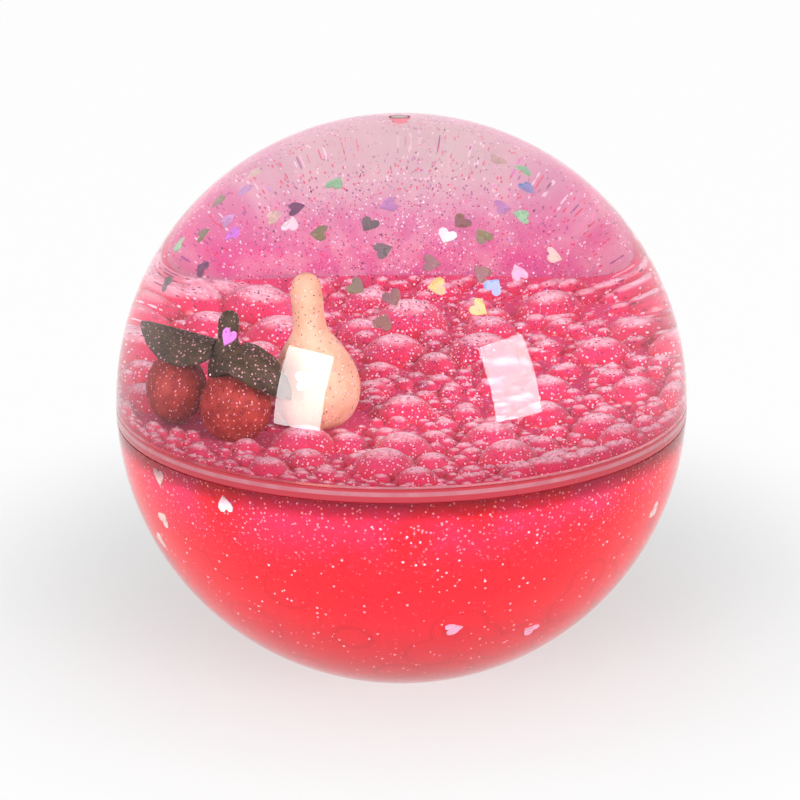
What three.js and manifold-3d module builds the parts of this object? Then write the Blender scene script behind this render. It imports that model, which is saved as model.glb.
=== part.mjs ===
// Glitter ball: two clear half shells joined at the equator hold a red liquid topped by a raft of
// droplets, a clear liquid with foil hearts, and two moulded fruit floats that bob on the droplets.
// Millimetres and degrees. The origin is the ball's centre, +Z runs up through the fill plug and the
// front faces -Y. Longitude counts from the front, positive towards +X; latitude counts up.
import * as THREE from 'three';
import { mergeVertices } from 'three/addons/utils/BufferGeometryUtils.js';
import Module from 'manifold-3d';

const wasm = await Module();
wasm.setup();

// Shell sizes
const BALL_RADIUS = 50;
const WALL = 3.5;
const BAND_HEIGHT = 1.8;
const BAND_DEPTH = 1.2;
const LIP_HEIGHT = 1.4;
const PLUG_HEAD_RADIUS = 1.5;
const PLUG_HEAD_DEPTH = 1.2;
const PLUG_STEM_RADIUS = 0.9;

// Gap between pieces that touch on the real ball
const CLEARANCE = 0.3;

// Red liquid and the droplets that stand on it
const LIQUID_LEVEL = -0.5;
const DROPLET_COUNT = 100;
const DROPLET_SMALL_RADIUS = 2.2;
const DROPLET_LARGE_RADIUS = 5.4;
const DROPLET_SUNK_SHARE = 0.35;
const BEAD_COUNT = 220;
const BEAD_SMALL_RADIUS = 1.2;
const BEAD_LARGE_RADIUS = 2.4;

// Foil hearts
const HEART_WIDTH = 3;
const HEART_THICKNESS = 0.25;

// Cherry float
const CHERRY_LEFT_RADIUS = 5.1;
const CHERRY_RIGHT_RADIUS = 5.4;
const CHERRY_DIMPLE = 0.7;
const CHERRY_SINK = 0.4;
const CHERRY_BOB = 5;
const CHERRY_ROOM = 1.5;
const CHERRY_LONGITUDE = -66;
const CHERRY_TURN = -38;
const CHERRY_TILT = 4;
const LEAF_THICKNESS = 3;
const LEAF_HALF_WIDTH = 5.2;
const LEAF_DROOP = 2;
const LEAF_LIFT = 1.8;
const LEAF_OVERHANG = 3.2;
const LEAF_CURL = 4.2;
const LEAF_ROOT_SHARE = 0.3;
const STALK_RADIUS = 1.6;
const STALK_FLARE = 1.4;
const STALK_HEIGHT = 8.4;
const STALK_OFFSET = 3.8;

// Pear float
const PEAR_HEIGHT = 23;
const PEAR_RADIUS = 6.2;
const PEAR_NECK_RADIUS = 2.35;
const PEAR_SINK = 0.6;
const PEAR_ROOM = 2.1;
const PEAR_BEARING = 25;
const PEAR_LEAN = 6;

// Hearts by foil colour, each place as [longitude, latitude]
const CLEAR_LAYER_HEARTS = {
  pearl: [[-77, 59], [-44, 52], [59, 67], [44, 42]],
  silver: [[-36, 51], [14, 50], [-20, 20], [102, 24]],
  lilac: [[-69, 55], [-62, 48], [-4, 58], [37, 55]],
  violet: [[-55, 46], [-40, 26]],
  plum: [[-38, 55], [-58, 37], [-112, 33]],
  mint: [[-29, 63], [-77, 38], [65, 62], [42, 52]],
  olive: [[-77, 50], [-68, 43], [-25, 50], [-11, 39], [25, 49]],
  slate: [[-10, 53], [-5, 47], [-70, 31]],
  bronze: [[-2, 37], [-4, 32], [20, 53], [8, 44], [21, 41]],
  blue: [[55, 58], [23, 38]],
  gold: [[9, 39], [18, 34]],
  pink: [[31, 40]],
};
const RED_LAYER_HEARTS = {
  pearl: [[-57, -6], [-59, -16], [-66, -23], [66, -17]],
  silver: [[-37, -7], [150, -14]],
  pink: [[12, -35], [35, -40], [-140, -20]],
};

// Facets
const TURN_FACETS = 48;
const ARC_STEPS = 10;
const DROPLET_SIDES = 6;
const DROPLET_RINGS = 5;
const BEAD_SIDES = 5;
const BEAD_RINGS = 4;
const FRUIT_SIDES = 20;
const FRUIT_RINGS = 12;
const PEAR_RINGS = 18;
const LEAF_SIDES = 10;
const LEAF_RINGS = 9;

// Sizes that follow from the ones above
const INNER_RADIUS = BALL_RADIUS - WALL;
const FACET_SHRINK = Math.cos(Math.PI / TURN_FACETS) * Math.cos(Math.PI / (4 * ARC_STEPS));
const CONTENT_RADIUS = INNER_RADIUS * FACET_SHRINK - CLEARANCE;
const HEART_REACH = HEART_WIDTH * 0.6;
const HEART_FACE_RADIUS = Math.sqrt(CONTENT_RADIUS ** 2 - HEART_REACH ** 2);
const HEART_PATH_RADIUS = HEART_FACE_RADIUS - HEART_THICKNESS;
const GOLDEN_ANGLE = Math.PI * (3 - Math.sqrt(5));

const radians = THREE.MathUtils.degToRad;

// Finishes
const finishes = {
  clearShell: { color: 0xfbe9ee, roughness: 0.05, metalness: 0, transparent: true, opacity: 0.3 },
  seam: { color: 0xf58a9c, roughness: 0.25, metalness: 0 },
  plug: { color: 0xb8455a, roughness: 0.35, metalness: 0 },
  redLiquid: { color: 0xf23a4c, roughness: 0.1, metalness: 0 },
  cherry: { color: 0xa8372f, roughness: 0.45, metalness: 0 },
  leaf: { color: 0x46402a, roughness: 0.6, metalness: 0 },
  pear: { color: 0xeec49c, roughness: 0.5, metalness: 0 },
};
const foils = {
  pearl: 0xe8d8c4,
  silver: 0xf4f2f4,
  lilac: 0xc9a6cf,
  violet: 0xd38be8,
  plum: 0x87607f,
  mint: 0xa8e6b8,
  olive: 0x8c8a68,
  slate: 0x7d7a80,
  bronze: 0x86605c,
  blue: 0x8fb4e6,
  gold: 0xe0c074,
  pink: 0xf0b4c4,
};

// Turns a closed geometry into a solid whose faces point outwards
function solidFrom(geometry) {
  const bare = geometry.clone();
  bare.deleteAttribute('normal');
  bare.deleteAttribute('uv');
  const merged = mergeVertices(bare, 1e-4);
  const points = merged.attributes.position.array;
  const corner = (index) => new THREE.Vector3().fromArray(points, 3 * index);
  const triangles = [];
  let volume = 0;
  for (let i = 0; i < merged.index.count; i += 3) {
    const [a, b, c] = [0, 1, 2].map((k) => merged.index.getX(i + k));
    if (a === b || b === c || c === a) continue;
    triangles.push([a, b, c]);
    volume += corner(a).dot(corner(b).cross(corner(c)));
  }
  const facing = volume < 0 ? triangles.map(([a, b, c]) => [a, c, b]) : triangles;
  const triVerts = Uint32Array.from(facing.flat());
  const vertProperties = Float32Array.from(points);
  return new wasm.Manifold(new wasm.Mesh({ numProp: 3, vertProperties, triVerts }));
}

// Revolves a profile of [radius, height] points about +Z
function revolve(profile, sides = TURN_FACETS) {
  const points = profile.map(([radius, height]) => new THREE.Vector2(radius, height));
  return solidFrom(new THREE.LatheGeometry(points, sides).rotateX(Math.PI / 2));
}

function sphereSolid(radius, centre, sides, rings) {
  const geometry = new THREE.SphereGeometry(radius, sides, rings).rotateX(Math.PI / 2);
  return solidFrom(geometry.translate(centre.x, centre.y, centre.z));
}

// Arc of a sphere's profile between two heights, ends included, as [radius, height] points
function arcProfile(radius, fromHeight, toHeight) {
  const from = Math.asin(fromHeight / radius);
  const to = Math.asin(toHeight / radius);
  const steps = Math.max(2, Math.ceil(ARC_STEPS * Math.abs(to - from) / (Math.PI / 2) - 1e-6));
  const arc = new THREE.EllipseCurve(0, 0, radius, radius, from, to, to < from);
  return arc.getPoints(steps).map((point) => [Math.max(point.x, 0), point.y]);
}

function piece(name, solid, finish) {
  const { vertProperties, triVerts } = solid.getMesh();
  const geometry = new THREE.BufferGeometry();
  geometry.setAttribute('position', new THREE.BufferAttribute(vertProperties, 3));
  geometry.setIndex(new THREE.BufferAttribute(triVerts, 1));
  geometry.computeVertexNormals();
  const mesh = new THREE.Mesh(geometry, new THREE.MeshStandardMaterial(finish));
  mesh.name = name;
  return mesh;
}

// Half shells, lapped at the equator behind a band set flush in their rims
const onSphere = (radius, across) => Math.sqrt(radius ** 2 - across ** 2);
const grooveEdge = BAND_HEIGHT / 2 + CLEARANCE;
const grooveRadius = BALL_RADIUS - BAND_DEPTH - CLEARANCE;
const lipRadius = INNER_RADIUS + (grooveRadius - INNER_RADIUS - CLEARANCE) / 2;
const jointHeight = CLEARANCE / 2;

function lowerShell() {
  const outside = arcProfile(BALL_RADIUS, -BALL_RADIUS, -grooveEdge);
  const rim = [
    [grooveRadius, -grooveEdge],
    [grooveRadius, -jointHeight],
    [lipRadius, -jointHeight],
    [lipRadius, LIP_HEIGHT],
  ];
  const inside = arcProfile(INNER_RADIUS, LIP_HEIGHT, -INNER_RADIUS);
  return revolve([...outside, ...rim, ...inside]);
}

function upperShell() {
  const headHole = PLUG_HEAD_RADIUS + CLEARANCE;
  const stemHole = PLUG_STEM_RADIUS + CLEARANCE;
  const seat = BALL_RADIUS - PLUG_HEAD_DEPTH - CLEARANCE;
  const lapTop = LIP_HEIGHT + CLEARANCE;
  const outside = arcProfile(BALL_RADIUS, onSphere(BALL_RADIUS, headHole), grooveEdge);
  const rim = [
    [grooveRadius, grooveEdge],
    [grooveRadius, jointHeight],
    [lipRadius + CLEARANCE, jointHeight],
    [lipRadius + CLEARANCE, lapTop],
  ];
  const inside = arcProfile(INNER_RADIUS, lapTop, onSphere(INNER_RADIUS, stemHole));
  const hole = [[stemHole, seat], [headHole, seat]];
  return revolve([...outside, ...rim, ...inside, ...hole, outside[0]]);
}

function seamBand() {
  const face = arcProfile(BALL_RADIUS, -BAND_HEIGHT / 2, BAND_HEIGHT / 2);
  const back = BALL_RADIUS - BAND_DEPTH;
  return revolve([...face, [back, BAND_HEIGHT / 2], [back, -BAND_HEIGHT / 2], face[0]]);
}

function fillPlug() {
  const crown = onSphere(BALL_RADIUS, PLUG_HEAD_RADIUS);
  const shoulder = BALL_RADIUS - PLUG_HEAD_DEPTH;
  const profile = [
    [0, INNER_RADIUS],
    [PLUG_STEM_RADIUS, INNER_RADIUS],
    [PLUG_STEM_RADIUS, shoulder],
    [PLUG_HEAD_RADIUS, shoulder],
    [PLUG_HEAD_RADIUS, crown],
    [0, BALL_RADIUS],
  ];
  return revolve(profile, FRUIT_SIDES);
}

const ball = new THREE.Group();
ball.add(piece('upper_shell', upperShell(), finishes.clearShell));
ball.add(piece('lower_shell', lowerShell(), finishes.clearShell));
ball.add(piece('seam_band', seamBand(), finishes.seam));
ball.add(piece('fill_plug', fillPlug(), finishes.plug));

// Cherry float, in its own frame: X runs from the left cherry to the right one
const cherrySpan = CHERRY_LEFT_RADIUS + CHERRY_RIGHT_RADIUS + CLEARANCE;
const cherryMiddle = (CHERRY_LEFT_RADIUS + CHERRY_RIGHT_RADIUS) / 2 - CHERRY_SINK;
const cherryAxis = new THREE.Vector3(Math.cos(radians(CHERRY_TILT)), 0, -Math.sin(radians(CHERRY_TILT)));
const leftCentre = new THREE.Vector3(0, 0, cherryMiddle).addScaledVector(cherryAxis, -cherrySpan / 2);
const rightCentre = new THREE.Vector3(0, 0, cherryMiddle).addScaledVector(cherryAxis, cherrySpan / 2);

// A cherry's profile is round with a dimple at the top
function cherry(radius, centre) {
  const profile = [];
  for (let ring = 0; ring <= FRUIT_RINGS; ring += 1) {
    const fromTop = Math.PI * (1 - ring / FRUIT_RINGS);
    const reach = radius - CHERRY_DIMPLE * Math.exp(-((2.5 * fromTop) ** 2));
    profile.push([Math.max(reach * Math.sin(fromTop), 0), reach * Math.cos(fromTop)]);
  }
  profile[0][0] = 0;
  profile[FRUIT_RINGS][0] = 0;
  return revolve(profile, FRUIT_SIDES).translate(centre.toArray());
}

const roomAround = (radius, centre) => sphereSolid(radius + CLEARANCE, centre, FRUIT_SIDES, FRUIT_RINGS);
const leftRoom = roomAround(CHERRY_LEFT_RADIUS, leftCentre);
const rightRoom = roomAround(CHERRY_RIGHT_RADIUS, rightCentre);

// A leaf is a flattened ball drawn out along a spine, broad at its root and bowed over the fruit beneath it
function leaf(spine, fruitCentre) {
  const geometry = new THREE.SphereGeometry(1, LEAF_SIDES, LEAF_RINGS);
  const place = geometry.attributes.position;
  for (let i = 0; i < place.count; i += 1) {
    const along = (1 - place.getY(i)) / 2;
    const taper = Math.sqrt(Math.sin(Math.PI * (LEAF_ROOT_SHARE + (1 - LEAF_ROOT_SHARE) * along)));
    const point = spine.getPoint(along);
    const tangent = spine.getTangent(along);
    const out = point.clone().sub(fruitCentre);
    out.addScaledVector(tangent, -out.dot(tangent)).normalize();
    const side = new THREE.Vector3().crossVectors(tangent, out);
    const across = place.getX(i);
    point.addScaledVector(side, across * taper * LEAF_HALF_WIDTH);
    point.addScaledVector(out, place.getZ(i) * LEAF_THICKNESS / 2 - LEAF_DROOP * across ** 2);
    place.setXYZ(i, point.x, point.y, point.z);
  }
  return solidFrom(geometry);
}

// A point over a fruit, at an angle from its top towards +X and swung round towards the front
function overFruit(centre, radius, angle, swing) {
  const reach = radius + CLEARANCE + LEAF_LIFT + LEAF_THICKNESS / 3;
  const level = reach * Math.sin(radians(angle));
  return new THREE.Vector3(
    centre.x + level * Math.cos(radians(swing)),
    centre.y - level * Math.sin(radians(swing)),
    centre.z + reach * Math.cos(radians(angle)),
  );
}

const leafTip = leftCentre.clone().add(new THREE.Vector3(
  -CHERRY_LEFT_RADIUS - LEAF_OVERHANG,
  -LEAF_OVERHANG / 2,
  CHERRY_LEFT_RADIUS + LEAF_CURL,
));
const leftSpine = new THREE.CatmullRomCurve3([
  overFruit(rightCentre, CHERRY_RIGHT_RADIUS, -8, 0),
  overFruit(leftCentre, CHERRY_LEFT_RADIUS, 32, 0),
  overFruit(leftCentre, CHERRY_LEFT_RADIUS, -22, -10),
  leafTip,
]);
const rightSpine = new THREE.CatmullRomCurve3([
  overFruit(rightCentre, CHERRY_RIGHT_RADIUS, -30, 0),
  overFruit(rightCentre, CHERRY_RIGHT_RADIUS, 10, 10),
  overFruit(rightCentre, CHERRY_RIGHT_RADIUS, 46, -10),
  overFruit(rightCentre, CHERRY_RIGHT_RADIUS, 82, -25),
]);

// The stalk is a short stub with a rounded top, flared where it stands between the leaves
function stalk(extra) {
  const radius = STALK_RADIUS + extra;
  const foot = cherryMiddle;
  const top = cherryMiddle + CHERRY_RIGHT_RADIUS + STALK_HEIGHT + extra;
  const waist = top - STALK_HEIGHT / 2;
  const profile = [
    [0, foot],
    [radius + STALK_FLARE, foot],
    [radius + STALK_FLARE, cherryMiddle + CHERRY_RIGHT_RADIUS],
    [radius, waist],
    [radius * 1.1, top - radius],
    [radius * 0.8, top - radius / 4],
    [0, top],
  ];
  return revolve(profile, FRUIT_SIDES / 2).translate([STALK_OFFSET, 0, 0]);
}

// Keeps each leaf on its own side of the stalk
function sideBlock(direction) {
  const size = 8 * (CHERRY_LEFT_RADIUS + CHERRY_RIGHT_RADIUS);
  const geometry = new THREE.BoxGeometry(size, size, size);
  return solidFrom(geometry.translate(STALK_OFFSET + direction * (size + CLEARANCE) / 2, 0, 0));
}

const clearOfFruit = (solid) => solid.subtract(leftRoom).subtract(rightRoom);
const clearOfStalk = (solid) => clearOfFruit(solid).subtract(stalk(CLEARANCE));
const leftLeaf = clearOfStalk(leaf(leftSpine, leftCentre)).intersect(sideBlock(-1));
const rightLeaf = clearOfStalk(leaf(rightSpine, rightCentre)).intersect(sideBlock(1));

// The float stands as far out as lets its leaf tip pass under the hearts at the top of its bob
const cherryBearing = radians(CHERRY_LONGITUDE);
const cherryHeading = new THREE.Vector3(Math.sin(cherryBearing), -Math.cos(cherryBearing), 0);
const cherryTurn = new THREE.Matrix4().makeRotationZ(radians(CHERRY_TURN));
const tipOffset = leafTip.clone().applyMatrix4(cherryTurn);
const tipHeight = LIQUID_LEVEL + tipOffset.z + CHERRY_BOB;
const tipReach = onSphere(HEART_PATH_RADIUS - CHERRY_ROOM, tipHeight);
const tipAlong = cherryHeading.dot(tipOffset.setZ(0));
const cherryDistance = Math.sqrt(tipAlong ** 2 + tipReach ** 2 - tipOffset.lengthSq()) - tipAlong;

const cherryFloat = new THREE.Group();
cherryFloat.position.copy(cherryHeading).multiplyScalar(cherryDistance).setZ(LIQUID_LEVEL);
cherryFloat.rotation.z = radians(CHERRY_TURN);
cherryFloat.add(piece('cherry_left', cherry(CHERRY_LEFT_RADIUS, leftCentre), finishes.cherry));
cherryFloat.add(piece('cherry_right', cherry(CHERRY_RIGHT_RADIUS, rightCentre), finishes.cherry));
cherryFloat.add(piece('leaf_left', leftLeaf, finishes.leaf));
cherryFloat.add(piece('leaf_right', rightLeaf, finishes.leaf));
cherryFloat.add(piece('cherry_stalk', clearOfFruit(stalk(0)), finishes.leaf));
cherryFloat.updateMatrixWorld();

// Pear float, beside the right cherry: a round body drawn up into a long neck
function pear(extra) {
  const neck = PEAR_NECK_RADIUS + extra;
  const body = PEAR_RADIUS + extra;
  const top = PEAR_HEIGHT + extra;
  const outline = new THREE.SplineCurve([
    new THREE.Vector2(0, -extra),
    new THREE.Vector2(body * 0.62, PEAR_RADIUS * 0.14 - extra),
    new THREE.Vector2(body * 0.95, PEAR_RADIUS * 0.62),
    new THREE.Vector2(body * 0.97, PEAR_RADIUS * 1.25),
    new THREE.Vector2((body + neck) * 0.46, PEAR_RADIUS * 1.95),
    new THREE.Vector2(neck, PEAR_HEIGHT * 0.64),
    new THREE.Vector2(neck * 0.98, PEAR_HEIGHT - PEAR_NECK_RADIUS * 1.3),
    new THREE.Vector2(neck * 0.7, PEAR_HEIGHT - PEAR_NECK_RADIUS * 0.35 + extra),
    new THREE.Vector2(0, top),
  ]);
  const profile = outline.getPoints(PEAR_RINGS).map((point) => [Math.max(point.x, 0), point.y]);
  return revolve(profile, FRUIT_SIDES);
}

const rightPlace = rightCentre.clone().applyMatrix4(cherryFloat.matrixWorld);
const pearDistance = CHERRY_RIGHT_RADIUS + PEAR_ROOM + PEAR_RADIUS;
const pearFloat = new THREE.Group();
pearFloat.position.set(
  rightPlace.x + pearDistance * Math.cos(radians(PEAR_BEARING)),
  rightPlace.y + pearDistance * Math.sin(radians(PEAR_BEARING)),
  LIQUID_LEVEL - PEAR_SINK,
);
pearFloat.rotation.y = -radians(PEAR_LEAN);
pearFloat.add(piece('pear', pear(0), finishes.pear));
pearFloat.updateMatrixWorld();

// Foil hearts lie flat against the inside of the shell, each turned its own way
function heartShape() {
  const half = HEART_WIDTH / 2;
  const shape = new THREE.Shape();
  shape.moveTo(0, -half * 1.05);
  shape.bezierCurveTo(half * 0.35, -half * 0.6, half, -half * 0.2, half, half * 0.3);
  shape.bezierCurveTo(half, half * 0.95, half * 0.2, half * 0.95, 0, half * 0.45);
  shape.bezierCurveTo(-half * 0.2, half * 0.95, -half, half * 0.95, -half, half * 0.3);
  shape.bezierCurveTo(-half, -half * 0.2, -half * 0.35, -half * 0.6, 0, -half * 1.05);
  return shape;
}

const heartGeometry = new THREE.ExtrudeGeometry(heartShape(), {
  depth: HEART_THICKNESS,
  bevelEnabled: false,
  curveSegments: 3,
});
const heartSolid = solidFrom(heartGeometry);

// Frame of a point on a sphere: X east, Y north, Z outwards
function wallMatrix(longitude, latitude, radius) {
  const [lon, lat] = [radians(longitude), radians(latitude)];
  const out = new THREE.Vector3(Math.cos(lat) * Math.sin(lon), -Math.cos(lat) * Math.cos(lon), Math.sin(lat));
  const east = new THREE.Vector3(Math.cos(lon), Math.sin(lon), 0);
  const north = new THREE.Vector3().crossVectors(out, east);
  return new THREE.Matrix4().makeBasis(east, north, out).setPosition(out.multiplyScalar(radius));
}

function heartGroup(layout, prefix) {
  const group = new THREE.Group();
  for (const [foil, places] of Object.entries(layout)) {
    const finish = { color: foils[foil], roughness: 0.2, metalness: 0.7 };
    places.forEach(([longitude, latitude], index) => {
      const heart = piece(`${prefix}_${foil}_${index + 1}`, heartSolid, finish);
      heart.applyMatrix4(wallMatrix(longitude, latitude, HEART_PATH_RADIUS));
      heart.rotateZ(group.children.length * GOLDEN_ANGLE);
      group.add(heart);
    });
  }
  return group;
}

const clearLayer = heartGroup(CLEAR_LAYER_HEARTS, 'heart');
const redHearts = heartGroup(RED_LAYER_HEARTS, 'sunk_heart');

// Droplets of many sizes, laid out like seeds in a sunflower
function dropletField({ count, small, large, sizeStep, turn, sides, rings }) {
  const droplets = [];
  for (let i = 0; i < count; i += 1) {
    const share = (i * sizeStep) % 1;
    const radius = small + (large - small) * share ** 2;
    const widest = CONTENT_RADIUS - radius - CLEARANCE;
    const distance = widest * Math.sqrt((i + 0.5) / count);
    const angle = turn + i * GOLDEN_ANGLE;
    const height = LIQUID_LEVEL - radius * DROPLET_SUNK_SHARE;
    const centre = new THREE.Vector3(distance * Math.cos(angle), distance * Math.sin(angle), height);
    droplets.push(sphereSolid(radius, centre, sides, rings));
  }
  return droplets;
}

const largeDroplets = {
  count: DROPLET_COUNT,
  small: DROPLET_SMALL_RADIUS,
  large: DROPLET_LARGE_RADIUS,
  sizeStep: Math.SQRT2,
  turn: 0,
  sides: DROPLET_SIDES,
  rings: DROPLET_RINGS,
};
const beadsBetween = {
  count: BEAD_COUNT,
  small: BEAD_SMALL_RADIUS,
  large: BEAD_LARGE_RADIUS,
  sizeStep: Math.sqrt(3),
  turn: 1,
  sides: BEAD_SIDES,
  rings: BEAD_RINGS,
};

// Red liquid: a bowl of it below, with the droplets and the beads between them on top
function redLiquid() {
  const surface = [[0, LIQUID_LEVEL]];
  const bowl = revolve([...arcProfile(CONTENT_RADIUS, -CONTENT_RADIUS, LIQUID_LEVEL), ...surface]);
  const droplets = [...dropletField(largeDroplets), ...dropletField(beadsBetween)];
  return droplets.reduce((liquid, droplet) => liquid.add(droplet), bowl);
}

// Hollows where the floats sit, and shallow pockets at the wall for the hearts in the red liquid
function settleFloats(liquid) {
  const inCherryFrame = cherryFloat.matrixWorld.elements;
  return liquid
    .subtract(leftRoom.transform(inCherryFrame))
    .subtract(rightRoom.transform(inCherryFrame))
    .subtract(pear(CLEARANCE).transform(pearFloat.matrixWorld.elements));
}

function pocketHearts(liquid) {
  const reach = HEART_REACH + CLEARANCE;
  const depth = 2 * WALL;
  const floor = HEART_PATH_RADIUS - CLEARANCE;
  let pocketed = liquid;
  for (const [longitude, latitude] of Object.values(RED_LAYER_HEARTS).flat()) {
    const pocket = new THREE.CylinderGeometry(reach, reach, depth, FRUIT_SIDES / 2).rotateX(Math.PI / 2);
    pocket.translate(0, 0, depth / 2);
    pocket.applyMatrix4(wallMatrix(longitude, latitude, floor));
    pocketed = pocketed.subtract(solidFrom(pocket));
  }
  return pocketed;
}

const redLayer = new THREE.Group();
redLayer.add(piece('red_liquid', pocketHearts(settleFloats(redLiquid())), finishes.redLiquid));
redLayer.add(redHearts);

const glitterBall = new THREE.Group();
glitterBall.add(ball, redLayer, clearLayer, cherryFloat, pearFloat);

export default glitterBall;
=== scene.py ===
"""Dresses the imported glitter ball: clear shell, red droplets, fruit floats, foil hearts and glitter."""
import logging
import math
from dataclasses import dataclass
from enum import Enum
from typing import Any, Callable, Iterable

import bmesh
import bpy
from mathutils import Matrix, Vector


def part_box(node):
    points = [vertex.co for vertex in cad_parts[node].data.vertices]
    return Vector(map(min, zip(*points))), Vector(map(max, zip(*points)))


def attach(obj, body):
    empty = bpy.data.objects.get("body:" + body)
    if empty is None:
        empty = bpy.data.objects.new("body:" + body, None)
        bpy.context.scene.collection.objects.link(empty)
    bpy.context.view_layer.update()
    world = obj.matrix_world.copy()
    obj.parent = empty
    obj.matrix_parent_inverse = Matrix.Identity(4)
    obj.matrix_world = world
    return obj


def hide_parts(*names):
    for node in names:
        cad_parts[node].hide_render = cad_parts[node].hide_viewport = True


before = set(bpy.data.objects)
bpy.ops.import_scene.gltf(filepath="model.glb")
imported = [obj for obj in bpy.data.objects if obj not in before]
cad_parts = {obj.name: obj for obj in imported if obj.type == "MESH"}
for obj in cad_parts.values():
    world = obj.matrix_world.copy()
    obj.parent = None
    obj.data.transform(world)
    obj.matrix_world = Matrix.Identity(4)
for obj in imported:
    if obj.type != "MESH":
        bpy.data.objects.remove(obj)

log = logging.getLogger("glitter_ball")

MM = 0.001
GOLDEN_ANGLE = math.pi * (3 - math.sqrt(5))
SHARP_ANGLE = 40.0
ON_AXIS = 1e-7
WHITE = (1.0, 1.0, 1.0)
FULL_TURN = 6.283
FLOATS = ("cherry_left", "cherry_right", "leaf_left", "leaf_right", "cherry_stalk", "pear")

Colour = tuple[float, float, float]
Profile = list[tuple[float, float]]
Stretch = tuple[float, float]
Socket = bpy.types.NodeSocket
SOCKET_KINDS = {int: "NodeSocketInt", float: "NodeSocketFloat", bpy.types.Material: "NodeSocketMaterial"}


class Foil(Enum):
    """Foil colours of the confetti hearts, as they are named in the frame's nodes."""

    PEARL = (0.82, 0.68, 0.55)
    SILVER = (0.93, 0.92, 0.93)
    LILAC = (0.62, 0.38, 0.66)
    VIOLET = (0.72, 0.28, 0.88)
    PLUM = (0.27, 0.13, 0.24)
    MINT = (0.42, 0.82, 0.5)
    OLIVE = (0.33, 0.3, 0.17)
    SLATE = (0.26, 0.24, 0.24)
    BRONZE = (0.33, 0.18, 0.15)
    BLUE = (0.3, 0.48, 0.85)
    GOLD = (0.78, 0.55, 0.18)
    PINK = (0.9, 0.48, 0.6)


class Body(Enum):
    """Bodies of the frame that the pieces ride on."""

    BALL = "ball"
    RED_LAYER = "red_layer"
    CLEAR_LAYER = "clear_layer"
    CHERRY_FLOAT = "cherry_float"
    PEAR_FLOAT = "pear_float"


class Nodes:
    """A node tree with short calls to add and join nodes."""

    def __init__(self, tree: bpy.types.NodeTree) -> None:
        """Keeps the tree and empties it."""
        self.tree = tree
        tree.nodes.clear()

    @staticmethod
    def socket(sockets: Any, key: str | int) -> Socket:
        """Finds a socket in use.

        Args:
            sockets: the inputs or outputs of a node.
            key: the socket's name, or its place among those in use.

        Returns:
            The socket.
        """
        live = [s for s in sockets if s.enabled]
        if isinstance(key, int):
            return live[key]
        return next(s for s in live if s.name == key)

    def add(self, kind: str, inputs: dict | None = None, **settings: Any) -> bpy.types.Node:
        """Adds a node.

        Args:
            kind: the node's type name.
            inputs: socket names or places to plain values, or to sockets to join.
            settings: the node's own properties.

        Returns:
            The node.
        """
        node = self.tree.nodes.new(kind)
        for name, value in settings.items():
            setattr(node, name, value)
        for key, value in (inputs or {}).items():
            target = self.socket(node.inputs, key)
            if isinstance(value, Socket):
                self.tree.links.new(value, target)
            else:
                target.default_value = (*value, 1.0) if target.type == "RGBA" else value
        return node

    def out(self, kind: str, inputs: dict | None = None, key: str | int = 0, **settings: Any) -> Socket:
        """Adds a node and gives its output of one name or place."""
        return self.socket(self.add(kind, inputs, **settings).outputs, key)

    def math(self, operation: str, *values: Any) -> Socket:
        """Adds a maths node, with its inputs in order."""
        return self.out("ShaderNodeMath", dict(enumerate(values)), operation=operation)

    def mix(self, factor: Any, first: Any, second: Any) -> Socket:
        """Mixes two colours, where the factor is the share of the second."""
        inputs = {"Factor": factor, "A": first, "B": second}
        return self.out("ShaderNodeMix", inputs, "Result", data_type="RGBA")

    def pick(self, value: Any, limit: float, below: Any, above: Any) -> Socket:
        """Gives one colour where a value is under a limit, and another where it is over."""
        return self.mix(self.math("GREATER_THAN", value, limit), below, above)

    def height(self, place: Any) -> Socket:
        """Gives the upright part of a vector."""
        return self.out("ShaderNodeSeparateXYZ", {"Vector": place}, "Z")

    def facing(self) -> Socket:
        """Gives how far a surface faces upwards, 1 at the most."""
        return self.height(self.out("ShaderNodeNewGeometry", key="Normal"))

    def span(self, value: Any, low: float, high: float, to_low: float = 0.0, to_high: float = 1.0) -> Socket:
        """Maps the values from low to high smoothly to another stretch."""
        inputs = {"Value": value, "From Min": low, "From Max": high, "To Min": to_low, "To Max": to_high}
        return self.out("ShaderNodeMapRange", inputs, interpolation_type="SMOOTHSTEP")


def shader_group(name: str, values: dict[str, float], results: Iterable[str]) -> tuple[Nodes, Any]:
    """Makes a shader node group, with a vector and some values as its inputs.

    Args:
        name: the group's name.
        values: names of the value inputs to what they start with.
        results: names of the outputs, which are values too.

    Returns:
        The group's nodes and its inputs.
    """
    group = bpy.data.node_groups.new(name, "ShaderNodeTree")
    group.interface.new_socket(name="Vector", in_out="INPUT", socket_type="NodeSocketVector")
    for title, value in values.items():
        item = group.interface.new_socket(name=title, in_out="INPUT", socket_type="NodeSocketFloat")
        item.default_value = value
    for title in results:
        group.interface.new_socket(name=title, in_out="OUTPUT", socket_type="NodeSocketFloat")
    nodes = Nodes(group)
    return nodes, nodes.add("NodeGroupInput").outputs


def specks_group() -> bpy.types.NodeTree:
    """Builds the effect of fine glitter that clings to a surface.

    Returns:
        A group that puts out a mask of specks and a random tone for each.
    """
    nodes, given = shader_group("glitter_specks", {"Scale": 1500.0, "Share": 0.2}, ("Mask", "Tone"))
    cells = nodes.add("ShaderNodeTexVoronoi", {"Vector": given["Vector"], "Scale": given["Scale"]})
    parts = nodes.add("ShaderNodeSeparateColor", {"Color": cells.outputs["Color"]})
    near = nodes.math("LESS_THAN", cells.outputs["Distance"], 0.3)
    chosen = nodes.math("LESS_THAN", parts.outputs["Red"], given["Share"])
    mask = nodes.math("MULTIPLY", near, chosen)
    nodes.add("NodeGroupOutput", {"Mask": mask, "Tone": parts.outputs["Green"]})
    return nodes.tree


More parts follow.
